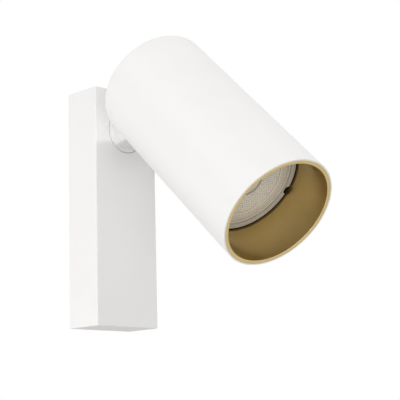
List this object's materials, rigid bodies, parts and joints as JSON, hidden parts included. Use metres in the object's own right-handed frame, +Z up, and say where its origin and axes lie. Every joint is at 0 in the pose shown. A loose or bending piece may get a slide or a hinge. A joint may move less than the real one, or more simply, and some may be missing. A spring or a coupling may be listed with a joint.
{
  "type": "pivoting spotlight wall light",
  "caption": "Slim wall box with a swivelling, tilting tubular spotlight head and a gold-coloured inner sleeve.",
  "frame": {"origin": "middle of the box's back, on the wall", "axes": "+Z up the wall, +X to the right along the wall, the light stands out of the wall towards -Y"},
  "size_m": [0.056, 0.1403, 0.1349],
  "materials": {
    "white_coat": "satin white powder coat",
    "white_screw": "satin white",
    "gold_anodised": "satin gold anodised",
    "zinc_steel": "zinc plated",
    "spring_steel": "oiled",
    "brass": "bare",
    "tinned_metal": "tin plated",
    "black_rubber": "matte",
    "terminal_plastic": "natural",
    "nylon": "natural",
    "fibre": "pressed fibre",
    "ceramic": "unglazed steatite",
    "lamp_grey": "moulded",
    "lamp_lens": "moulded optic, unlit",
    "lamp_white": "moulded",
    "board_white": "solder mask",
    "board_green": "solder mask",
    "lead_sheath": "PVC",
    "core_insulation": "PVC",
    "earth_insulation": "PVC, green and yellow"
  },
  "bodies": {
    "wall_base": {"wall_housing": "white_coat", "wall_bracket": "zinc_steel", "cover_screw": "white_screw", "cable_grommet": "black_rubber", "terminal_block": "terminal_plastic", "terminal_inserts": "brass", "terminal_screws": "zinc_steel", "terminal_fixing_screw": "zinc_steel", "earth_screw": "brass", "earth_lug": "tinned_metal", "swivel_plate": "zinc_steel", "plate_nuts": "zinc_steel", "base_lead": "lead_sheath", "base_cores": "core_insulation", "earth_core": "earth_insulation"},
    "swivel": {"swivel_knuckle": "white_coat", "swivel_stem": "zinc_steel", "swivel_washers": "nylon", "stop_washer": "zinc_steel", "spring_washer": "spring_steel", "stem_nut": "zinc_steel", "pivot_screws": "zinc_steel", "friction_washers": "fibre", "swivel_lead": "lead_sheath"},
    "head": {"head_shell": "white_coat", "front_baffle": "gold_anodised", "pivot_bracket": "zinc_steel", "bracket_screws": "zinc_steel", "lamp_holder": "ceramic", "holder_screws": "zinc_steel", "holder_contacts": "brass", "lamp_bezel": "lamp_grey", "lamp_lens": "lamp_lens", "lamp_housing": "lamp_white", "lamp_foot": "lamp_white", "lamp_pins": "tinned_metal", "led_board": "board_white", "driver_board": "board_green", "head_lead": "lead_sheath", "holder_cores": "core_insulation"}
  },
  "joints": [
    {"name": "swivel_turn", "type": "hinge", "parent": "wall_base", "child": "swivel", "pos_m": [0, -0.0212, 0.0381], "axis": [0, -1, 0], "range_deg": [-165, 165]},
    {"name": "head_tilt", "type": "hinge", "parent": "swivel", "child": "head", "pos_m": [0, -0.035, 0.0381], "axis": [1, 0, 0], "range_deg": [-43.66, 46.34]}
  ]
}
